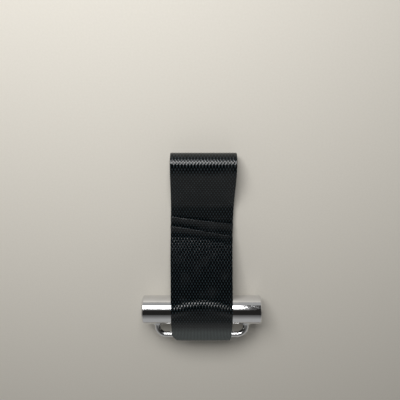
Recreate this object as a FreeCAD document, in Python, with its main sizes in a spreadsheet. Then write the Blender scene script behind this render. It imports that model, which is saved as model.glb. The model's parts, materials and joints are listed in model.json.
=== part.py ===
import FreeCAD, Part
import Sketcher
import os
from math import asin, cos, pi, radians, sin, sqrt

from FreeCAD import Placement, Rotation, Vector

# Strap wrench for round work. A steel barrel with a square drive socket in each end carries a
# bail bent from rod. One length of webbing, folded double, comes out between the two, makes the
# working loop, passes round the bail's bar and ends in two loose tails. The wrench lies flat on
# its back: X runs along the barrel, Y from the barrel up to the top fold, Z up. Millimetres and
# degrees.

DRIVING = [
    ("ply", 1.3, "thickness of one ply of webbing"),
    ("ply_gap", 0.15, "air between two plies"),
    ("steel_gap", 0.25, "air between webbing and steel"),
    ("strap_width", 50.8, "2 in webbing"),
    ("barrel_diameter", 23.8, "15/16 in bar"),
    ("barrel_length", 100.0, "3 15/16 in"),
    ("barrel_chamfer", 1.0, "turned edge at each end"),
    ("square", 12.8, "across the flats of the 1/2 in drive socket"),
    ("square_depth", 20.0, "how far the square is broached"),
    ("pilot_diameter", 13.2, "bore drilled before broaching"),
    ("pilot_depth", 26.0, "depth of that bore at its full diameter"),
    ("pilot_lead", 1.6, "countersink at its mouth"),
    ("drill_angle", 118.0, "angle of its drilled bottom"),
    ("rod_diameter", 4.8, "wire of the bail"),
    ("bail_half_width", 37.9, "barrel middle to the wire's centre line"),
    ("bail_reach", 22.6, "barrel axis to the bar's centre line"),
    ("bail_corner", 7.5, "bend radius of the wire's centre line"),
    ("bail_tilt", 10.0, "how far the bail leans up from flat, against the webbing"),
    ("weld_size", 2.0, "leg of the weld fillet"),
    ("fold_radius", 9.5, "outside radius of the top fold"),
    ("fold_reach", 135.0, "barrel axis to the outside of the top fold"),
    ("shoulder", 5.0, "straight run of the plies past the barrel's front"),
    ("shoulder_radius", 12.0, "bend after it, of the ply next to the barrel"),
    ("leave_angle", 22.0, "slope of the plies from there down to the flat"),
    ("settle_radius", 25.0, "bend at the foot of that slope, of the same ply"),
    ("rise_start", 88.0, "barrel axis to where the front plies start to rise"),
    ("rise_angle", 24.0, "slope of that rise"),
    ("rise_foot", 15.0, "bend at the foot of the rise, inner front ply"),
    ("rise_head", 12.0, "bend at the head of the rise, inner front ply"),
    ("inner_tail_reach", 78.8, "barrel axis to the inner tail's end, at mid width"),
    ("inner_tail_slant", 7.7, "how far that end is from square"),
    ("outer_tail_reach", 69.8, "barrel axis to the outer tail's end, at mid width"),
    ("outer_tail_slant", 10.0, "how far that end is from square"),
    ("inner_hinge_gap", 1.0, "room behind the inner tail to bend up"),
    ("outer_hinge_gap", 2.4, "room behind the outer tail to bend up"),
    ("outer_hinge_set", 1.6, "where the outer tail starts, past the bend"),
]
TOWARDS_FOLD = 0.0
TOWARDS_BARREL = pi

doc = FreeCAD.newDocument("strap_wrench")
sheet = doc.addObject("Spreadsheet::Sheet", "Sheet")
for row, (alias, value, meaning) in enumerate(DRIVING, start=1):
    sheet.set("A%d" % row, meaning)
    sheet.set("B%d" % row, "%g" % value)
    sheet.setAlias("B%d" % row, alias)
doc.recompute()


def size(alias):
    """A driving dimension, as the sheet holds it."""
    return float(sheet.get(alias))


def number(formula):
    """The present value of a formula of the sheet's cells."""
    value = sheet.evalExpression(formula)
    return float(getattr(value, "Value", value))


# ---- sizes that follow from the driving ones ----

ply = size("ply")
pitch = ply + size("ply_gap")
barrel_radius = size("barrel_diameter") / 2
rod_radius = size("rod_diameter") / 2
reach = size("bail_reach")
leave = radians(size("leave_angle"))


def level(layer):
    """Height of a flat ply's middle: layer 0 lies on the ground."""
    return ply / 2 + layer * pitch


def barrel_bend(layer):
    """Middle radius of a ply wound on the barrel: layer 0 is next to the steel."""
    return barrel_radius + size("steel_gap") + ply / 2 + layer * pitch


def shoulder_bend(layer):
    """Middle radius of a ply where it bends down past the barrel's front."""
    return size("shoulder_radius") + layer * pitch


def bar_bend(layer):
    """Middle radius of a ply wound on the bail's bar: layer 1 is next to it."""
    return rod_radius + size("steel_gap") + ply / 2 + (layer - 1) * pitch


# Two back plies and the bight's rear leg lie under the barrel, which sets its height. The wrench
# is longest along Y, and the part's origin is under the middle of that length.
axis_z = ply / 2 + barrel_bend(2)
lowest_y = -(reach + bar_bend(2) + ply / 2)
axis_y = -(size("fold_reach") + lowest_y) / 2
fold_y = size("fold_reach") - size("fold_radius")

# The webbing leaves the bar room to swing between two leans: down on the back plies, and up as
# far as it is drawn. From there the plies run straight to the barrel's front.
low_lean = asin((level(1) + bar_bend(1) - axis_z) / reach)
high_lean = radians(size("bail_tilt"))
taut_angle = asin((barrel_bend(1) - bar_bend(1)) / reach)


# ---- webbing: one ply as a chain of straight and bent stretches in the YZ plane ----

class Ply:
    """Walks along a ply's middle line. Y is measured from the barrel axis."""

    def __init__(self, y, z, heading):
        self.y = y
        self.z = z
        self.heading = heading
        self.faces = {1: [], -1: []}
        self.length = 0.0

    def beside(self, side):
        """The point on the ply's left face (side 1) or right face (side -1), at one edge."""
        offset = side * ply / 2
        return Vector(
            -size("strap_width") / 2,
            axis_y + self.y - offset * sin(self.heading),
            self.z + offset * cos(self.heading),
        )

    def line(self, length):
        starts = {side: self.beside(side) for side in self.faces}
        self.y += length * cos(self.heading)
        self.z += length * sin(self.heading)
        for side, edges in self.faces.items():
            edges.append(Part.makeLine(starts[side], self.beside(side)))
        self.length += length

    def line_to(self, y):
        """Straight on until the walker's Y is the one given."""
        self.line((y - self.y) / cos(self.heading))

    def bend(self, radius, turn):
        """An arc, to the left if the turn, in radians, is positive."""
        left = 1 if turn > 0 else -1
        centre_y = self.y - left * radius * sin(self.heading)
        centre_z = self.z + left * radius * cos(self.heading)
        points = {side: [self.beside(side)] for side in self.faces}
        for _ in range(2):
            self.heading += turn / 2
            self.y = centre_y + left * radius * sin(self.heading)
            self.z = centre_z - left * radius * cos(self.heading)
            for side in self.faces:
                points[side].append(self.beside(side))
        for side, edges in self.faces.items():
            edges.append(Part.Arc(*points[side]).toShape())
        self.length += radius * abs(turn)

    def finish(self, label, beyond=None):
        """Makes the stretch walked so far a sub-part, less what is beyond, and starts anew."""
        left, right = self.faces[1], self.faces[-1]
        ends = [
            Part.makeLine(left[0].firstVertex().Point, right[0].firstVertex().Point),
            Part.makeLine(self.beside(1), self.beside(-1)),
        ]
        section = Part.Face(Part.Wire(Part.sortEdges(ends + left + right)[0]))
        shape = section.extrude(Vector(size("strap_width"), 0, 0))
        if beyond:
            shape = shape.cut(beyond).Solids[0]
        part = doc.addObject("Part::Feature", label)
        part.Label = label
        part.Shape = shape
        part.Placement = Placement()
        self.faces = {1: [], -1: []}
        return part


def cross_shoulder(walker, layer, short_by):
    """From the barrel's front on over the shoulder, stopping short of its end."""
    walker.line(size("shoulder"))
    walker.bend(shoulder_bend(layer), -(leave - short_by / shoulder_bend(layer)))


def past_shoulder(layer, past):
    """A walker so far down the slope that follows a ply's shoulder."""
    bend = shoulder_bend(layer)
    return Ply(
        size("shoulder") + bend * sin(leave) + past * cos(leave),
        axis_z + barrel_bend(layer) - bend * (1 - cos(leave)) - past * sin(leave),
        TOWARDS_FOLD - leave,
    )


def settle(walker, layer, flat_layer):
    """Down the slope, then a bend out to the flat."""
    radius = size("settle_radius") - layer * pitch
    drop = walker.z - level(flat_layer) - radius * (1 - cos(leave))
    walker.line(drop / sin(leave))
    walker.bend(radius, leave)


def rise(walker, layer, top):
    """Up from the flat to the top fold's height: a bend, a slope and a bend back."""
    shift = (layer - 1) * pitch
    angle = radians(size("rise_angle"))
    head = size("rise_head") + shift
    walker.line_to(size("rise_start"))
    walker.bend(size("rise_foot") - shift, angle)
    climb = top - walker.z - head * (1 - cos(angle))
    walker.line(climb / sin(angle))
    walker.bend(head, -angle)
    walker.line_to(fold_y)


def round_the_bar(walker, layer, hinge_gap):
    """From the back, round the room that the bar swings in, and over the barrel's front."""
    barrel, bar = barrel_bend(layer), bar_bend(layer)
    walker.bend(bar, -(pi / 2 + low_lean))
    walker.bend(reach + bar, -(high_lean - low_lean))
    walker.bend(bar, -(pi / 2 - taut_angle))
    walker.line(sqrt(reach**2 - (barrel - bar) ** 2))
    walker.bend(barrel, -(taut_angle - high_lean))
    cross_shoulder(walker, layer, hinge_gap)


def make_bight():
    """The strap's folded middle, which hugs the barrel between it and the bail."""
    walker = Ply(0, axis_z - barrel_bend(0), TOWARDS_BARREL)
    walker.bend(barrel_bend(0), -pi)
    cross_shoulder(walker, 0, 0)
    return [walker.finish("strap_bight")], walker.length


def make_leg(name, layer):
    """One leg of the strap, from the bight to where its tail bends up."""
    back_layer = 2 - layer
    if name == "outer":
        walker = past_shoulder(0, 0)
        settle(walker, 0, layer + 1)
    else:
        walker = Ply(0, axis_z - barrel_bend(0), TOWARDS_FOLD)
    rise(walker, layer, 2 * size("fold_radius") - level(back_layer))
    parts = [walker.finish("front_run_" + name)]
    walker.bend(size("fold_radius") - level(back_layer), -pi)
    parts.append(walker.finish("top_fold_" + name))
    walker.line_to(-reach * cos(low_lean))
    parts.append(walker.finish("back_run_" + name))
    round_the_bar(walker, layer, size(name + "_hinge_gap"))
    parts.append(walker.finish("bottom_wrap_" + name))
    return parts, walker.length


def beyond_end(end_reach, slant):
    """The space past a tail's cut end, which is higher up the wrench on its left side."""
    room = size("strap_width")
    block = Part.makeBox(4 * room, room, room, Vector(-2 * room, 0, -room / 2))
    turn = Rotation(Vector(0, 0, 1), -slant)
    block.Placement = Placement(Vector(0, axis_y + end_reach, axis_z), turn)
    return block


def make_tail(name, layer, past):
    """The loose end of one leg, free to bend up past the shoulder, cut on the slant."""
    walker = past_shoulder(layer, past)
    settle(walker, layer, layer + 3)
    end_reach = size(name + "_tail_reach")
    spare = size("strap_width") / 2
    walker.line_to(end_reach + spare)
    beyond = beyond_end(end_reach, size(name + "_tail_slant"))
    return [walker.finish(name + "_tail", beyond)], walker.length - spare


# ---- steel: bodies made from sketches whose sizes are bound to the sheet ----

def origin_plane(body, role):
    return next(plane for plane in body.Origin.OriginFeatures if plane.Role == role)


def new_body(label):
    body = doc.addObject("PartDesign::Body", label)
    body.Label = label
    return body


def new_sketch(body, name, role):
    sketch = body.newObject("Sketcher::SketchObject", name)
    sketch.AttachmentSupport = (origin_plane(body, role), [""])
    sketch.MapMode = "FlatFace"
    return sketch


def bind(sketch, formula, *constraint):
    """Adds a dimension to a sketch and binds it to a formula of the sheet's cells."""
    index = sketch.addConstraint(Sketcher.Constraint(*constraint, number(formula)))
    sketch.setExpression("Constraints[%d]" % index, formula)


def place_point(sketch, x, y, *point):
    """Holds a point of a sketch at two formulas' distances from the origin."""
    bind(sketch, x, "DistanceX", -1, 1, *point)
    bind(sketch, y, "DistanceY", -1, 1, *point)


def polygon(body, name, role, corners):
    """A closed outline, each corner placed by two formulas."""
    sketch = new_sketch(body, name, role)
    points = [Vector(number(x), number(y), 0) for x, y in corners]
    for start, end in zip(points, points[1:] + points[:1]):
        sketch.addGeometry(Part.LineSegment(start, end))
    for index, (x, y) in enumerate(corners):
        following = (index + 1) % len(corners)
        sketch.addConstraint(Sketcher.Constraint("Coincident", index, 2, following, 1))
        place_point(sketch, x, y, index, 1)
    return sketch


def turn_outline(body, kind, name, sketch, axis):
    """A full turn of an outline about one of its sketch's axes."""
    feature = body.newObject("PartDesign::" + kind, name)
    feature.Profile = sketch
    feature.ReferenceAxis = (sketch, [axis])
    feature.Angle = 360
    return feature


def put_on_axis(body, tilt):
    """Puts a steel piece's origin on the barrel's axis, leaning up by a number of degrees."""
    body.Placement = Placement(Vector(0, axis_y, axis_z), Rotation(Vector(1, 0, 0), -tilt))


def clear_barrel(body):
    """Takes the barrel's own cylinder out of a piece that stands on it."""
    space = body.newObject("PartDesign::SubtractiveCylinder", body.Label + "_barrel_space")
    space.setExpression("Radius", "Sheet.barrel_diameter / 2")
    space.setExpression("Height", "Sheet.barrel_length")
    space.AttachmentSupport = (origin_plane(body, "YZ_Plane"), [""])
    space.MapMode = "FlatFace"
    space.setExpression(".AttachmentOffset.Base.z", "-Sheet.barrel_length / 2")


def make_barrel():
    """A turned bar, drilled, countersunk and broached square at each end."""
    body = new_body("drive_barrel")
    end = "Sheet.barrel_length / 2"
    radius = "Sheet.barrel_diameter / 2"
    bore_radius = "Sheet.pilot_diameter / 2"
    bore_bottom = end + " - Sheet.pilot_depth"
    point_depth = bore_radius + " / tan(Sheet.drill_angle * 1deg / 2)"
    bar = polygon(body, "bar_outline", "XY_Plane", [
        ("-" + end, "0"),
        (end, "0"),
        (end, radius + " - Sheet.barrel_chamfer"),
        (end + " - Sheet.barrel_chamfer", radius),
        ("-" + end + " + Sheet.barrel_chamfer", radius),
        ("-" + end, radius + " - Sheet.barrel_chamfer"),
    ])
    turn_outline(body, "Revolution", "turned_bar", bar, "H_Axis")
    bore = polygon(body, "bore_outline", "XY_Plane", [
        (end, "0"),
        (end, bore_radius + " + Sheet.pilot_lead"),
        (end + " - Sheet.pilot_lead", bore_radius),
        (bore_bottom, bore_radius),
        (bore_bottom + " - " + point_depth, "0"),
    ])
    pilot_bore = turn_outline(body, "Groove", "pilot_bore", bore, "H_Axis")
    half = "Sheet.square / 2"
    flats = polygon(body, "square_outline", "YZ_Plane", [
        ("-" + half, "-" + half),
        (half, "-" + half),
        (half, half),
        ("-" + half, half),
    ])
    flats.setExpression(".AttachmentOffset.Base.z", end)
    doc.recompute()
    bored_volume = body.Shape.Volume
    broached = body.newObject("PartDesign::Pocket", "broached_square")
    broached.Profile = flats
    broached.setExpression("Length", "Sheet.square_depth")
    doc.recompute()
    assert body.Shape.Volume < bored_volume, "the square cuts nothing"
    other_end = body.newObject("PartDesign::Mirrored", "other_end")
    other_end.Originals = [pilot_bore, broached]
    other_end.MirrorPlane = (origin_plane(body, "YZ_Plane"), [""])
    body.Tip = other_end
    put_on_axis(body, 0)
    return body


def make_bail():
    """One rod bent into a U, its ends butting on the barrel."""
    body = new_body("bail")
    wide = size("bail_half_width")
    corner = size("bail_corner")
    up = Vector(0, 0, 1)
    left_corner = Part.Circle(Vector(corner - wide, corner - reach, 0), up, corner)
    right_corner = Part.Circle(Vector(wide - corner, corner - reach, 0), up, corner)
    route = new_sketch(body, "bail_route", "XY_Plane")
    route.addGeometry([
        Part.LineSegment(Vector(-wide, 0, 0), Vector(-wide, corner - reach, 0)),
        Part.ArcOfCircle(left_corner, pi, 1.5 * pi),
        Part.LineSegment(Vector(corner - wide, -reach, 0), Vector(wide - corner, -reach, 0)),
        Part.ArcOfCircle(right_corner, 1.5 * pi, 2 * pi),
        Part.LineSegment(Vector(wide, corner - reach, 0), Vector(wide, 0, 0)),
    ])
    for index in range(4):
        route.addConstraint(Sketcher.Constraint("Tangent", index, 2, index + 1, 1))
    route.addConstraint(Sketcher.Constraint("Horizontal", 2))
    place_point(route, "-Sheet.bail_half_width", "0", 0, 1)
    place_point(route, "Sheet.bail_half_width", "0", 4, 2)
    bind(route, "-Sheet.bail_reach", "DistanceY", -1, 1, 2, 1)
    bind(route, "Sheet.bail_corner", "Radius", 1)
    bind(route, "Sheet.bail_corner", "Radius", 3)
    wire = new_sketch(body, "rod_section", "XZ_Plane")
    wire.addGeometry(Part.Circle(Vector(-wide, 0, 0), up, rod_radius))
    place_point(wire, "-Sheet.bail_half_width", "0", 0, 3)
    bind(wire, "Sheet.rod_diameter / 2", "Radius", 0)
    rod = body.newObject("PartDesign::AdditivePipe", "bent_rod")
    rod.Profile = wire
    rod.Spine = route
    doc.recompute()
    clear_barrel(body)
    put_on_axis(body, size("bail_tilt"))
    return body


def make_weld(label, side):
    """The fillet round one end of the bail, on its side of the barrel."""
    body = new_body(label)
    wire = "Sheet.rod_diameter / 2"
    surface = "-Sheet.barrel_diameter / 2"
    bead = polygon(body, label + "_outline", "XY_Plane", [
        (wire, surface + " + Sheet.weld_size"),
        (wire + " + Sheet.weld_size", surface + " + Sheet.weld_size"),
        (wire + " + Sheet.weld_size", surface),
        (wire + " + Sheet.weld_size / 4", surface + " - Sheet.weld_size"),
        (wire, surface + " - Sheet.weld_size"),
    ])
    bead.setExpression(".AttachmentOffset.Base.x", "%d * Sheet.bail_half_width" % side)
    turn_outline(body, "Revolution", label + "_bead", bead, "V_Axis")
    doc.recompute()
    clear_barrel(body)
    put_on_axis(body, size("bail_tilt"))
    return body


# ---- the whole wrench ----

subparts = [make_barrel(), make_bail(), make_weld("weld_left", -1), make_weld("weld_right", 1)]
stretches = [
    make_bight(),
    make_leg("inner", 1),
    make_leg("outer", 2),
    make_tail("inner", 1, 0),
    make_tail("outer", 2, size("outer_hinge_set")),
]
strap_length = size("inner_hinge_gap") + size("outer_hinge_gap") + size("outer_hinge_set")
for parts, length in stretches:
    subparts += parts
    strap_length += length

doc.recompute()
for item in doc.Objects:
    assert not {"Invalid", "Error"} & set(item.State), "%s failed: %s" % (item.Label, item.State)
os.makedirs("parts", exist_ok=True)
for item in subparts:
    shape = item.Shape
    assert not shape.isNull() and shape.isValid(), item.Label + " has no valid shape"
    assert len(shape.Solids) == 1, item.Label + " is not one solid"
for item in subparts:
    item.Shape.exportStep("parts/%s.step" % item.Label)
    print("%-20s %9.1f mm3" % (item.Label, item.Shape.Volume))
print("barrel axis at Y %.3f, Z %.3f" % (axis_y, axis_z))
print("webbing, end to end along its middle: %.0f mm" % strap_length)
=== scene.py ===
"""Looks of the strap wrench: woven webbing round a plated barrel and bail, on a pale floor.

Metres throughout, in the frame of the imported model: X along the barrel, Y from the barrel to the
top fold, Z up. The webbing follows the same middle lines as its CAD plies, so those lines are
walked here again from the same sizes. Along them Y is measured from the barrel's axis.
"""

import json
from math import asin, cos, pi, radians, sin, sqrt, tan

import bpy
import numpy as np
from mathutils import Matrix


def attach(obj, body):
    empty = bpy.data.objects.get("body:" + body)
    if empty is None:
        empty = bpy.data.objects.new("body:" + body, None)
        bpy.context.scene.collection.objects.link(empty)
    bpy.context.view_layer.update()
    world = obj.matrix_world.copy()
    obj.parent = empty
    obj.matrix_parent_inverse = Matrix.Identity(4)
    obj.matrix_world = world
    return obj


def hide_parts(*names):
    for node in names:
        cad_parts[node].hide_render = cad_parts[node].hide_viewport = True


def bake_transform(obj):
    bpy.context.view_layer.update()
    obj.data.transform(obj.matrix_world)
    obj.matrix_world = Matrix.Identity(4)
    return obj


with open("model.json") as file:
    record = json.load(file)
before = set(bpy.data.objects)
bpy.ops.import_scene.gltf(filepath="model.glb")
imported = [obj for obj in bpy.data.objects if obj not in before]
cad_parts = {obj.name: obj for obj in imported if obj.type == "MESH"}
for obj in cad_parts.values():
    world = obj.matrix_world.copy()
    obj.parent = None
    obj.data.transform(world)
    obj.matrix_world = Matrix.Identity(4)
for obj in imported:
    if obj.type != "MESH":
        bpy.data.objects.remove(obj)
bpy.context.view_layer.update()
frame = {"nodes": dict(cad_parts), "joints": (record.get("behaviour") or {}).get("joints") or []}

MM = 0.001

# ---- sizes shared with the CAD ----

PLY = 1.3 * MM
PITCH = 1.45 * MM
STEEL_GAP = 0.25 * MM
STRAP_WIDTH = 50.8 * MM
BARREL_RADIUS = 11.9 * MM
ROD_RADIUS = 2.4 * MM
BAIL_REACH = 22.6 * MM
BAIL_HALF_WIDTH = 37.9 * MM
BAIL_TILT = radians(10)
WELD_LEG = 2 * MM
FOLD_RADIUS = 9.5 * MM
FOLD_REACH = 135 * MM
SHOULDER = 5 * MM
SHOULDER_RADIUS = 12 * MM
LEAVE = radians(22)
SETTLE_RADIUS = 25 * MM
RISE_START = 88 * MM
RISE_ANGLE = radians(24)
RISE_FOOT = 15 * MM
RISE_HEAD = 12 * MM
TAIL_REACH = {"inner": 78.8 * MM, "outer": 69.8 * MM}
TAIL_SLANT = {"inner": radians(7.7), "outer": radians(10)}
LAYER = {"inner": 1, "outer": 2}

# The outer front run lies on three plies, and the tails on that.
FRONT_LAYER = 3

JOINTS = {joint["name"]: joint for joint in frame["joints"]}
AXIS_Y, AXIS_Z = JOINTS["drive_turn"]["pos_m"][1:]

# ---- sizes of the weave ----

# The webbing has columns of floats, each column half a period ahead of the one beside it.
COLUMNS = 42
COLUMN = STRAP_WIDTH / COLUMNS
PERIOD = 4.2 * MM
WEAVE_DEPTH = 0.20 * MM

# A float's half width is in columns and its half length in periods. Its face is an ellipsoid's if
# the roundness is 0.5, and flatter on top if it is less.
FLOAT_HALF_WIDTH = 0.58
FLOAT_HALF_LENGTH = 0.36
FLOAT_ROUNDNESS = 0.36

SELVAGE_BUMP = 0.12 * MM
SELVAGE_STEPS = 6
FINE_ROW = PERIOD / 8
COARSE_ROW = PERIOD / 6

# The last rows of a cut end: how far short of the cut they are, and the shares of the ply's
# thickness and of the weave's depth that they have.
MELT_ROWS = (
    (0.75 * MM, 1.1, 0.5),
    (0.5 * MM, 1.2, 0.2),
    (0.25 * MM, 1.15, 0.0),
    (0.1 * MM, 0.85, 0.0),
    (0.0, 0.45, 0.0),
)
MELTED_FACE_ROWS = 3

# ---- how the webbing strays from its middle lines ----

# A hump towards the fold from the barrel's axis, further along at mid width. Only plies above a
# lowest height have it, which are those on top.
HUMP_HEIGHT = 0.8 * MM
HUMP_HALF_LENGTH = 5.5 * MM
HUMP_AT_EDGES = 6.5 * MM
HUMP_AT_MIDDLE = 12 * MM
HUMP_LOWEST = 8 * MM

# A bulge at mid width over the bail's bar. It grows along its run, which starts this far from the
# barrel's axis on the bail's side, and up its rise.
BULGE_HEIGHT = 0.3 * MM
BULGE_START = 14 * MM
BULGE_RUN = 9 * MM
BULGE_LOWEST = 2 * MM
BULGE_RISE = 9 * MM

# Edges drawn in over the bar, the left one more, from a start on the same side of the axis.
DRAWN_IN_LEFT = 4.2 * MM
DRAWN_IN_RIGHT = 1.0 * MM
DRAWN_IN_START = 18 * MM
DRAWN_IN_RUN = 9 * MM
DRAWN_IN_POWER = 5

# Sideways creep: to the left by mid length, then to the right up to the fold.
CREEP_LEFT = 0.3 * MM
CREEP_LEFT_RUN = 55 * MM
CREEP_RIGHT = 1.5 * MM
CREEP_RIGHT_START = 50 * MM
CREEP_RIGHT_RUN = 85 * MM

# Cut ends curl up, and their cuts are a little uneven.
TAIL_CURL = 1.4 * MM
TAIL_CURL_RUN = 9 * MM
TAIL_WOBBLE = {"inner": -0.25 * MM, "outer": 0.35 * MM}
WOBBLE_HALF_WAVES = 1.3
WOBBLE_PHASE = 0.7

# ---- sizes of the weld beads ----

WELD_STEPS = 200
WELD_SIDES = 13
WELD_FROM = radians(-12)
WELD_TO = radians(96)
WELD_HOLLOW = 0.12
WELD_EVEN_SHARE = 0.93
WELD_ROOT_IN = 0.4 * MM
WELD_ROOT_DOWN = 0.5 * MM

# Ripples across a bead, which lag a little up its face and fade out at its top.
WELD_RIPPLES = 20
WELD_RIPPLE_SHARE = 0.09
WELD_RIPPLE_LAG = 0.12
WELD_RIPPLE_FADE = 1.8

# Slow swells round a bead: a share of its leg, and how many there are in a turn.
WELD_SWELLS = ((0.05, 3), (0.04, 5))

# ---- where a lighter grey sheen is painted on the webbing, on the bail's side of the barrel's axis ----

PAINTED_SHEEN_SHARE = 0.85
PAINTED_SHEEN_WHOLLY_PAST = 15 * MM
PAINTED_SHEEN_PAST = 7 * MM

# ---- colours, in linear RGB ----

YARN_DARK = (0.0095, 0.0160, 0.0190)
YARN_LIGHT = (0.021, 0.033, 0.0385)
# Painted shade: the near black painted into the pits between the floats.
PIT_SHADE_COLOUR = (0.0002, 0.0003, 0.0004)
LINT_COLOUR = (0.04, 0.042, 0.043)
# Painted sheen: the lighter grey painted on the webbing's ribs where it turns down over the bail's
# bar.
PAINTED_SHEEN_COLOUR = (0.094, 0.112, 0.109)
FLOOR_DARK = (0.60, 0.57, 0.51)
FLOOR_LIGHT = (0.62, 0.59, 0.53)
WALL_COLOUR = (0.40, 0.40, 0.395)
CEILING_COLOUR = (0.02, 0.019, 0.018)

# ---- floor, light and camera ----

FLOOR_SIZE = 16.0

# The key light is this far from the barrel's axis, at an angle from straight up towards the fold.
KEY_ANGLE = radians(50)
KEY_DISTANCE = 0.7
KEY_WIDTH = 0.425
KEY_HEIGHT = 0.275
KEY_POWER = 4.85
KEY_MIDDLE_X = -0.1175

CAMERA_X = -1.5 * MM
CAMERA_PAST_AXIS = 221.4 * MM
CAMERA_HEIGHT = 342.7 * MM
CAMERA_TILT = radians(-20.5)
CAMERA_LENS = 40.5
CAMERA_SENSOR = 36


# ---- the plies' middle lines ----

TOWARDS_FOLD = 0.0
TOWARDS_BARREL = pi


class Line:
    """A ply's middle line in the YZ plane, kept as stretches of even curvature."""

    def __init__(self, y, z, heading):
        self.y = y
        self.z = z
        self.heading = heading
        self.length = 0.0
        self.stretches = []

    def go(self, length, curvature):
        self.stretches.append((self.length, self.y, self.z, self.heading, curvature))
        self.length += length
        self.y, self.z, self.heading = (float(v) for v in self.at(self.length))

    def straight(self, length):
        self.go(length, 0.0)

    def straight_to(self, y):
        """Straight on until the line's Y is the one given."""
        self.straight((y - self.y) / cos(self.heading))

    def bend(self, radius, turn):
        """An arc, to the left if the turn is positive."""
        self.go(radius * abs(turn), (1 if turn > 0 else -1) / radius)

    def at(self, along):
        """Y, Z and heading at distances along the line."""
        table = np.array(self.stretches)
        along = np.asarray(along, float)
        which = np.clip(np.searchsorted(table[:, 0], along, side="right") - 1, 0, None)
        start, y, z, heading, curvature = np.moveaxis(table[which], -1, 0)
        gone = along - start
        half_turn = curvature * gone / 2
        chord = gone * np.sinc(half_turn / pi)
        return (
            y + chord * np.cos(heading + half_turn),
            z + chord * np.sin(heading + half_turn),
            heading + 2 * half_turn,
        )


def level(layer):
    """Height of a flat ply's middle: layer 0 lies on the floor."""
    return PLY / 2 + layer * PITCH


def back_level(layer):
    """Height of a leg's back run: the outer leg is on the floor and the inner one on that."""
    return level(2 - layer)


def barrel_bend(layer):
    """Middle radius of a ply wound on the barrel: layer 0 is next to the steel."""
    return BARREL_RADIUS + STEEL_GAP + PLY / 2 + layer * PITCH


def bar_bend(layer):
    """Middle radius of a ply wound on the bail's bar: layer 1 is next to it."""
    return ROD_RADIUS + STEEL_GAP + PLY / 2 + (layer - 1) * PITCH


# The bail's lowest lean, with its bar down on the back plies, and the angle to the bail at which
# the plies run straight from its bar to the barrel.
LOW_LEAN = asin((level(1) + bar_bend(1) - AXIS_Z) / BAIL_REACH)
TAUT_ANGLE = asin((barrel_bend(1) - bar_bend(1)) / BAIL_REACH)


def cross_shoulder(line, layer):
    """On past the barrel's front, and the bend down to the slope."""
    line.straight(SHOULDER)
    line.bend(SHOULDER_RADIUS + layer * PITCH, -LEAVE)


def settle(line, layer, flat_layer):
    """Down the slope, then a bend out to the flat."""
    radius = SETTLE_RADIUS - layer * PITCH
    drop = line.z - level(flat_layer) - radius * (1 - cos(LEAVE))
    line.straight(drop / sin(LEAVE))
    line.bend(radius, LEAVE)


def rise(line, layer):
    """Up from the flat to the top fold's height."""
    shift = (layer - 1) * PITCH
    head = RISE_HEAD + shift
    line.straight_to(RISE_START)
    line.bend(RISE_FOOT - shift, RISE_ANGLE)
    climb = 2 * FOLD_RADIUS - back_level(layer) - line.z - head * (1 - cos(RISE_ANGLE))
    line.straight(climb / sin(RISE_ANGLE))
    line.bend(head, -RISE_ANGLE)
    line.straight_to(FOLD_REACH - FOLD_RADIUS)


def round_the_bar(line, layer):
    """From the back, round the room that the bar swings in, and over the barrel's front."""
    barrel = barrel_bend(layer)
    bar = bar_bend(layer)
    line.bend(bar, -(pi / 2 + LOW_LEAN))
    line.bend(BAIL_REACH + bar, -(BAIL_TILT - LOW_LEAN))
    line.bend(bar, -(pi / 2 - TAUT_ANGLE))
    line.straight(sqrt(BAIL_REACH**2 - (barrel - bar) ** 2))
    line.bend(barrel, -(TAUT_ANGLE - BAIL_TILT))
    cross_shoulder(line, layer)


def walk_leg(name):
    """A leg's whole middle line, and the distances along it where its parts meet."""
    layer = LAYER[name]
    if name == "outer":
        line = Line(0, AXIS_Z - barrel_bend(0), TOWARDS_BARREL)
        line.bend(barrel_bend(0), -pi)
        cross_shoulder(line, 0)
        settle(line, 0, FRONT_LAYER)
    else:
        line = Line(0, AXIS_Z - barrel_bend(0), TOWARDS_FOLD)
    rise(line, layer)
    line.bend(FOLD_RADIUS - back_level(layer), -pi)
    ends = {"fold": line.length}
    line.straight_to(-BAIL_REACH * cos(LOW_LEAN))
    ends["back"] = line.length
    round_the_bar(line, layer)
    ends["wrap"] = line.length
    settle(line, layer, FRONT_LAYER + layer)
    line.straight_to(TAIL_REACH[name])
    return line, ends


# ---- materials ----

def new_material(name):
    """A material, its node tree and its shader."""
    material = bpy.data.materials.new(name)
    material.use_nodes = True
    return material, material.node_tree, material.node_tree.nodes["Principled BSDF"]


def add(tree, kind, inputs, **settings):
    """A node, with its settings, and its inputs given as numbers or as other nodes' outputs."""
    made = tree.nodes.new("ShaderNode" + kind)
    for key, value in settings.items():
        setattr(made, key, value)
    for key, value in inputs.items():
        if isinstance(value, bpy.types.NodeSocket):
            tree.links.new(value, made.inputs[key])
        else:
            made.inputs[key].default_value = value
    return made


def maths(tree, operation, *values):
    """The result of a Math node."""
    return add(tree, "Math", dict(enumerate(values)), operation=operation).outputs[0]


def noise(tree, vector, scale, detail, stretch=(1, 1, 1)):
    """A noise value, with its scale in turns per metre."""
    mapped = add(tree, "Mapping", {"Vector": vector, "Scale": stretch}).outputs[0]
    made = add(tree, "TexNoise", {"Vector": mapped, "Scale": scale, "Detail": detail})
    return made.outputs["Fac"]


def spread(tree, value, reach, over=(0.3, 0.7)):
    """A value carried from one range to another, and held at its ends.

    Noise lies mostly between 0.3 and 0.7.
    """
    ends = {"From Min": over[0], "From Max": over[1], "To Min": reach[0], "To Max": reach[1]}
    return add(tree, "MapRange", {"Value": value, **ends}).outputs[0]


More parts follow.
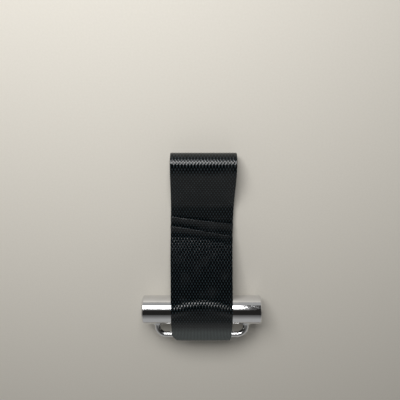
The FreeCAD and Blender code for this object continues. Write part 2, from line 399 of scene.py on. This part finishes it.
def colour_mix(tree, share, first, second):
    """A colour between two, by a share. Each is three numbers or another node's output."""
    first, second = (
        value if isinstance(value, bpy.types.NodeSocket) else (*value, 1)
        for value in (first, second)
    )
    # The node has its factor at 0 and its two colours at 6 and 7.
    return add(tree, "Mix", {0: share, 6: first, 7: second}, data_type="RGBA").outputs[2]


def make_webbing(name, melted):
    """Black polyester webbing: glossy filaments on each float, a little lint, and painted shade in the
    pits between floats.

    Where it turns down over the bail's bar, a lighter grey sheen is painted on its ribs.
    """
    material, tree, shader = new_material(name)
    cloth = add(tree, "UVMap", {}, uv_map="cloth").outputs[0]
    split = add(tree, "SeparateXYZ", {"Vector": cloth})
    columns = maths(tree, "MULTIPLY", split.outputs[0], pi / COLUMN)
    columns = maths(tree, "COSINE", maths(tree, "SUBTRACT", columns, pi * (COLUMNS + 1) / 2))
    turns = maths(tree, "COSINE", maths(tree, "MULTIPLY", split.outputs[1], 2 * pi / PERIOD))
    crown = maths(tree, "MULTIPLY_ADD", maths(tree, "MULTIPLY", columns, turns), 0.5, 0.5)
    filaments = noise(tree, cloth, scale=900, detail=2, stretch=(9, 0.8, 1))
    yarn = noise(tree, cloth, scale=260, detail=2, stretch=(3.2, 1, 1))
    lint = noise(tree, cloth, scale=75, detail=4)

    base = colour_mix(tree, spread(tree, yarn, (0, 1)), YARN_DARK, YARN_LIGHT)
    # Painted shade: the pits between the floats are painted near black, and the float tops keep the
    # yarn's colour.
    float_top = spread(tree, crown, (0, 1), over=(0.55, 0.9))
    base = colour_mix(tree, float_top, PIT_SHADE_COLOUR, base)
    base = colour_mix(tree, spread(tree, lint, (0, 0.15), over=(0.5, 0.8)), base, LINT_COLOUR)

    place = add(tree, "SeparateXYZ", {"Vector": add(tree, "TexCoord", {}).outputs["Object"]})
    # Painted sheen: the ribs are painted lighter grey where the webbing turns down over the bail's
    # bar.
    turned_down = (AXIS_Y - PAINTED_SHEEN_WHOLLY_PAST, AXIS_Y - PAINTED_SHEEN_PAST)
    by_bar = spread(tree, place.outputs[1], (PAINTED_SHEEN_SHARE, 0), over=turned_down)
    ribs = spread(tree, maths(tree, "ABSOLUTE", columns), (0.1, 1), over=(0, 1))
    base = colour_mix(tree, maths(tree, "MULTIPLY", by_bar, ribs), base, PAINTED_SHEEN_COLOUR)
    tree.links.new(base, shader.inputs["Base Color"])

    if melted:
        roughness = spread(tree, yarn, (0.12, 0.3))
        relief = lint
    else:
        roughness = spread(tree, filaments, (0.10, 0.20))
        relief = filaments
    bump = add(tree, "Bump", {"Strength": 0.35, "Distance": 0.06 * MM, "Height": relief})
    tree.links.new(roughness, shader.inputs["Roughness"])
    tree.links.new(bump.outputs[0], shader.inputs["Normal"])
    shader.inputs["Specular IOR Level"].default_value = 0.34
    return material


def make_plating(name, tint, roughness, marks, marks_depth):
    """Bright plating over steel, with the tool marks left under it and a little wear."""
    material, tree, shader = new_material(name)
    place = add(tree, "TexCoord", {}).outputs["Object"]
    clouds = noise(tree, place, scale=90, detail=4)
    scuffs = noise(tree, place, scale=420, detail=5, stretch=(1, 3, 3))
    grain = noise(tree, place, scale=marks, detail=2, stretch=(1, 0.02, 0.02))
    dull_tint = tuple(0.93 * part for part in tint)
    base = colour_mix(tree, spread(tree, clouds, (0, 1)), tint, dull_tint)
    bump = add(tree, "Bump", {"Strength": 0.15, "Distance": marks_depth, "Height": grain})
    tree.links.new(base, shader.inputs["Base Color"])
    tree.links.new(spread(tree, scuffs, roughness, over=(0.35, 0.75)), shader.inputs["Roughness"])
    tree.links.new(bump.outputs[0], shader.inputs["Normal"])
    shader.inputs["Metallic"].default_value = 1.0
    return material


def make_floor_paint():
    material, tree, shader = new_material("floor_paint")
    place = add(tree, "TexCoord", {}).outputs["Object"]
    grain = spread(tree, noise(tree, place, scale=700, detail=3), (0, 1))
    tree.links.new(colour_mix(tree, grain, FLOOR_DARK, FLOOR_LIGHT), shader.inputs["Base Color"])
    shader.inputs["Roughness"].default_value = 0.75
    return material


webbing = make_webbing("webbing", False)
melted_webbing = make_webbing("melted_webbing", True)
plating = make_plating(
    "plated_steel", tint=(0.80, 0.80, 0.81), roughness=(0.03, 0.11), marks=2500, marks_depth=0.004 * MM
)
rod_plating = make_plating(
    "plated_rod", tint=(0.78, 0.78, 0.78), roughness=(0.17, 0.27), marks=1500, marks_depth=0.01 * MM
)
weld_plating = make_plating(
    "plated_weld", tint=(0.68, 0.68, 0.69), roughness=(0.15, 0.35), marks=900, marks_depth=0.05 * MM
)


# ---- meshes ----

def new_object(name, points, faces, material):
    """An object in the scene, with flat faces between points in an array of any shape."""
    mesh = bpy.data.meshes.new(name)
    mesh.from_pydata(np.reshape(points, (-1, 3)).tolist(), [], faces)
    mesh.materials.append(material)
    made = bpy.data.objects.new(name, mesh)
    bpy.context.scene.collection.objects.link(made)
    return made


def between_rings(here, following, sides):
    """Quads that join two rings of vertices, each given by the number of its first vertex."""
    quads = []
    for place in range(sides):
        beside = (place + 1) % sides
        quads.append((here + place, here + beside, following + beside, following + place))
    return quads


def turned_over(quads):
    """The same quads, facing the other way."""
    return [(a, d, c, b) for a, b, c, d in quads]


def capped_tube(name, points, material):
    """A smooth tube through rings of points, with a flat cap on each end."""
    rings, sides = points.shape[:2]
    faces = []
    for here in range(rings - 1):
        faces += between_rings(here * sides, (here + 1) * sides, sides)
    faces.append(tuple(range(sides))[::-1])
    faces.append(tuple(range((rings - 1) * sides, rings * sides)))
    made = new_object(name, points, faces, material)
    made.data.polygons.foreach_set("use_smooth", [True] * (len(faces) - 2) + [False] * 2)
    return made


def closed_hoop(name, points, material):
    """A smooth hoop through rings of points, the last ring joined to the first."""
    rings, sides = points.shape[:2]
    faces = []
    for here in range(rings):
        following = (here + 1) % rings
        faces += turned_over(between_rings(here * sides, following * sides, sides))
    made = new_object(name, points, faces, material)
    made.data.polygons.foreach_set("use_smooth", [True] * len(faces))
    return made


# ---- webbing ----

def smooth(value):
    """0 below 0, 1 above 1, and an even curve between."""
    value = np.clip(value, 0, 1)
    return value * value * (3 - 2 * value)


def weave(x, along):
    """Height of the woven face, 1 on the crown of a float and 0 in the pits between."""
    across = x / COLUMN - 0.5
    height = np.zeros(np.broadcast(x, along).shape)
    for column in (np.floor(across), np.floor(across) + 1):
        beside = (across - column) / FLOAT_HALF_WIDTH
        turn = along / PERIOD - column / 2
        ahead = (turn - np.round(turn)) / FLOAT_HALF_LENGTH
        crown = np.clip(1 - beside**2 - ahead**2, 0, 1) ** FLOAT_ROUNDNESS
        height = np.maximum(height, crown)
    return height


def ring(top_step, under_step):
    """The ply's cross-section: offsets across and through it, the way out, and 1 where woven.

    The steps between points on the two faces are in quarters of a column.
    """
    edge = STRAP_WIDTH / 2 - PLY / 2
    quarter = COLUMN / 4
    last = int(edge / quarter)
    rows = []
    for step, side in ((top_step, 1), (under_step, -1)):
        inner = last - last % step
        across = np.arange(-inner, inner + 1, step) * quarter * side
        rows += [(x, side * PLY / 2, 0.0, side, 1.0) for x in across]
        for corner in range(SELVAGE_STEPS + 1):
            angle = side * pi / 2 - side * pi * corner / SELVAGE_STEPS
            out_x = side * abs(cos(angle))
            out_n = sin(angle)
            rows.append((side * edge + out_x * PLY / 2, out_n * PLY / 2, out_x, out_n, 0.0))
    return np.array(rows).T


def creep(y):
    """How far the strap has crept sideways: a little left at mid length, right at the fold."""
    left = CREEP_LEFT * smooth(y / CREEP_LEFT_RUN)
    right = CREEP_RIGHT * smooth((y - CREEP_RIGHT_START) / CREEP_RIGHT_RUN)
    return right - left


def stray(sideways, through, y, z):
    """Offsets across and through a ply, with its hump, bulge, drawn-in edges and creep."""
    from_middle = sideways / (STRAP_WIDTH / 2)
    crown = 1 - from_middle**2
    hump_at = HUMP_AT_EDGES + (HUMP_AT_MIDDLE - HUMP_AT_EDGES) * crown
    hump = HUMP_HEIGHT * smooth(1 - abs(y - hump_at) / HUMP_HALF_LENGTH) * (z > HUMP_LOWEST)
    over_bar = smooth((-y - BULGE_START) / BULGE_RUN) * smooth((z - BULGE_LOWEST) / BULGE_RISE)
    bulge = BULGE_HEIGHT * over_bar * crown
    drawn_in = np.where(sideways < 0, DRAWN_IN_LEFT, DRAWN_IN_RIGHT)
    drawn_in = drawn_in * smooth((-y - DRAWN_IN_START) / DRAWN_IN_RUN)
    sideways = sideways - drawn_in * from_middle**DRAWN_IN_POWER + creep(y)
    return sideways, through + hump + bulge


def map_cloth(mesh, across, along):
    """A UV map in metres, across the webbing from its left edge and along it."""
    layout = mesh.uv_layers.new(name="cloth")
    corners = np.zeros(len(mesh.loops), np.int32)
    mesh.loops.foreach_get("vertex_index", corners)
    spots = np.stack(np.broadcast_arrays(across + STRAP_WIDTH / 2, along), axis=-1)
    layout.data.foreach_set("uv", spots.reshape(-1, 2)[corners].ravel())


def place_rows(start, stop, rows, melted):
    """Distances along the line of each row of points, its thickness, and the weave left in it."""
    along = start + (stop - start) * np.linspace(0, 1, rows + 1)[:, None]
    if not melted:
        return along, 1.0, 1.0
    short_of_cut, thickness, weave_left = (column[:, None] for column in np.array(MELT_ROWS).T)
    whole = np.ones((rows - 1, 1))
    along = np.vstack([along[:-2], stop - short_of_cut])
    return along, np.vstack([whole, thickness]), np.vstack([whole, weave_left])


def melt_end(mesh, sides):
    """Melted material on the last rows of faces, and on the second of the two caps."""
    mesh.materials.append(melted_webbing)
    melted = MELTED_FACE_ROWS * sides
    whole = len(mesh.polygons) - 2 - melted
    mesh.polygons.foreach_set("material_index", [0] * whole + [1] * melted + [0, 1])


def ribbon(name, line, start, end, row_length, steps, cut=None):
    """A closed mesh of one stretch of webbing. A cut end is slanted, rounded and melted."""
    x, n, out_x, out_n, woven = (values[None, :] for values in ring(*steps))
    rows = int(round((end - start) / row_length))
    stop = end + (cut(x) if cut else 0 * x)
    along, thickness, weave_left = place_rows(start, stop, rows, cut is not None)
    y, z, heading = line.at(along)
    phase = along + PERIOD / 2 * (out_n < 0)
    floats = woven * (weave(x, phase) - 1) * WEAVE_DEPTH
    knots = (1 - woven) * (np.cos(4 * pi * along / PERIOD) - 1) * SELVAGE_BUMP / 2
    bump = weave_left * (floats + knots)
    sideways, through = stray(x + out_x * bump, n * thickness + out_n * bump, y, z)
    if cut:
        through = through + TAIL_CURL * smooth(1 - (stop - along) / TAIL_CURL_RUN) ** 2
    points = np.stack(
        [sideways, AXIS_Y + y - through * np.sin(heading), z + through * np.cos(heading)], axis=-1
    )
    piece = capped_tube(name, points, webbing)
    map_cloth(piece.data, x, phase)
    if cut:
        melt_end(piece.data, x.size)
    piece.data.validate()
    return piece


def add_strap(name, line, start, end, row_length, steps, stands_for):
    """Webbing that stays on the hank from end to end."""
    piece = ribbon(name, line, start, end, row_length, steps)
    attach(piece, "hank")
    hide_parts(*stands_for)


def cut_line(name):
    """How far past its middle a tail's end reaches, across its width."""
    def past(x):
        wave = np.cos(WOBBLE_HALF_WAVES * pi * x / STRAP_WIDTH + WOBBLE_PHASE)
        return TAIL_WOBBLE[name] * wave - tan(TAIL_SLANT[name]) * x
    return past


def add_tail(name, line, start, stands_for):
    """Webbing from a start on the hank to a loose cut end, which curls up at the cut."""
    cut = cut_line(name)
    piece = ribbon(name + "_tail_cloth", line, start, line.length, FINE_ROW, (1, 1), cut)
    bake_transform(piece)
    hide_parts(*stands_for)


# ---- steel ----

def paint(node, material):
    node.data.materials.clear()
    node.data.materials.append(material)


def add_weld(name, side):
    """A rippled bead round one end of the bail, closed under itself inside the steel."""
    turns = np.linspace(0, 2 * pi, WELD_STEPS, endpoint=False)[:, None]
    lift = np.linspace(WELD_FROM, WELD_TO, WELD_SIDES)[None, :]
    ripple = np.abs(np.sin(WELD_RIPPLES / 2 * (turns + WELD_RIPPLE_LAG * np.sin(2 * lift))))
    fade = np.sin(np.clip(lift * WELD_RIPPLE_FADE, 0, pi))
    swell = sum(
        share * np.sin(count * turns + phase)
        for (share, count), phase in zip(WELD_SWELLS, (side, 1))
    )
    leg = WELD_LEG * (WELD_EVEN_SHARE + swell + WELD_RIPPLE_SHARE * ripple * fade)
    leg = leg * (1 - WELD_HOLLOW * np.sin(2 * lift))
    out = ROD_RADIUS + leg * np.cos(lift)
    up = leg * np.sin(lift)
    out = np.hstack([out, np.full_like(turns, ROD_RADIUS - WELD_ROOT_IN)])
    up = np.hstack([up, np.full_like(turns, -WELD_ROOT_DOWN)])
    across = out * np.cos(turns)
    over = out * np.sin(turns)
    away = np.sqrt(BARREL_RADIUS**2 - over**2) + up
    points = np.stack(
        [
            side * BAIL_HALF_WIDTH + across,
            AXIS_Y - away * cos(BAIL_TILT) + over * sin(BAIL_TILT),
            AXIS_Z + away * sin(BAIL_TILT) + over * cos(BAIL_TILT),
        ],
        axis=-1,
    )
    bead = closed_hoop(name + "_bead", points, weld_plating)
    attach(bead, "drive_body")
    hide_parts(name)


# ---- the wrench ----

paint(frame["nodes"]["drive_barrel"], plating)
paint(frame["nodes"]["bail"], rod_plating)
add_weld("weld_left", -1)
add_weld("weld_right", 1)

outer, outer_ends = walk_leg("outer")
inner, inner_ends = walk_leg("inner")

add_strap(
    "strap_front", outer, 0, outer_ends["fold"],
    row_length=FINE_ROW,
    steps=(1, 4),
    stands_for=["strap_bight", "front_run_outer", "top_fold_outer"],
)
add_strap(
    "strap_back", outer, outer_ends["fold"], outer_ends["back"],
    row_length=COARSE_ROW,
    steps=(1, 4),
    stands_for=["back_run_outer"],
)
add_strap(
    "strap_inner", inner, 0, inner_ends["wrap"],
    row_length=2 * FINE_ROW,
    steps=(2, 2),
    stands_for=["front_run_inner", "top_fold_inner", "back_run_inner", "bottom_wrap_inner"],
)
add_tail("outer", outer, outer_ends["back"], ["bottom_wrap_outer", "outer_tail"])
add_tail("inner", inner, inner_ends["wrap"], ["inner_tail"])


# ---- the room ----

def make_floor():
    half = FLOOR_SIZE / 2
    corners = [(-half, -half, 0), (half, -half, 0), (half, half, 0), (-half, half, 0)]
    new_object("floor", corners, [(0, 1, 2, 3)], make_floor_paint())


def make_key_light():
    data = bpy.data.lights.new("key", "AREA")
    data.shape = "RECTANGLE"
    data.size = KEY_WIDTH
    data.size_y = KEY_HEIGHT
    data.energy = KEY_POWER
    key = bpy.data.objects.new("key", data)
    key.location = (
        KEY_MIDDLE_X,
        AXIS_Y + KEY_DISTANCE * sin(KEY_ANGLE),
        AXIS_Z + KEY_DISTANCE * cos(KEY_ANGLE),
    )
    key.rotation_euler = (-KEY_ANGLE, 0, 0)
    bpy.context.scene.collection.objects.link(key)


def make_room():
    """Pale walls all round, and dark patches overhead for the cloth and the steel to mirror.

    A direction's lean is its angle from straight up, towards the fold's side of the room. The
    patches are the ceiling, a dusk that deepens from the barrel's side up to the ceiling, a patch
    to the right of the key light and a rim beyond the light.
    """
    world = bpy.data.worlds.new("room")
    world.use_nodes = True
    tree = world.node_tree
    way = add(tree, "SeparateXYZ", {"Vector": add(tree, "TexCoord", {}).outputs["Generated"]})
    lean = maths(tree, "ARCTAN2", way.outputs[1], way.outputs[2])

    def band(middle, full, edge):
        """1 within some degrees of a lean, and 0 beyond an edge further off."""
        off = maths(tree, "ABSOLUTE", maths(tree, "SUBTRACT", lean, radians(middle)))
        return spread(tree, off, (1, 0), over=(radians(full), radians(edge)))

    def larger(first, second):
        return maths(tree, "MAXIMUM", first, second)

    def product(first, second):
        return maths(tree, "MULTIPLY", first, second)

    ceiling = band(7, 19, 26)
    dusk = product(
        spread(tree, lean, (0, 0.75), over=(radians(-53), radians(-18))),
        spread(tree, lean, (1, 0), over=(radians(20), radians(30))),
    )
    right_of_key = spread(tree, way.outputs[0], (0, 1), over=(0.1, 0.112))
    beside_key = product(right_of_key, band(40, 21, 25))
    rim = band(64, 2.5, 4.5)
    overhead = spread(tree, way.outputs[2], (0, 1), over=(0.3, 0.5))
    dark = product(larger(larger(ceiling, dusk), larger(beside_key, rim)), overhead)

    background = tree.nodes["Background"]
    colour = colour_mix(tree, dark, WALL_COLOUR, CEILING_COLOUR)
    tree.links.new(colour, background.inputs["Color"])
    background.inputs["Strength"].default_value = 1.0
    bpy.context.scene.world = world


def make_camera():
    data = bpy.data.cameras.new("camera")
    data.sensor_width = CAMERA_SENSOR
    data.lens = CAMERA_LENS
    camera = bpy.data.objects.new("camera", data)
    camera.location = (CAMERA_X, AXIS_Y + CAMERA_PAST_AXIS, CAMERA_HEIGHT)
    camera.rotation_euler = (CAMERA_TILT, 0, 0)
    bpy.context.scene.collection.objects.link(camera)
    bpy.context.scene.camera = camera


make_floor()
make_key_light()
make_room()
make_camera()
bpy.context.scene.view_settings.view_transform = "Standard"
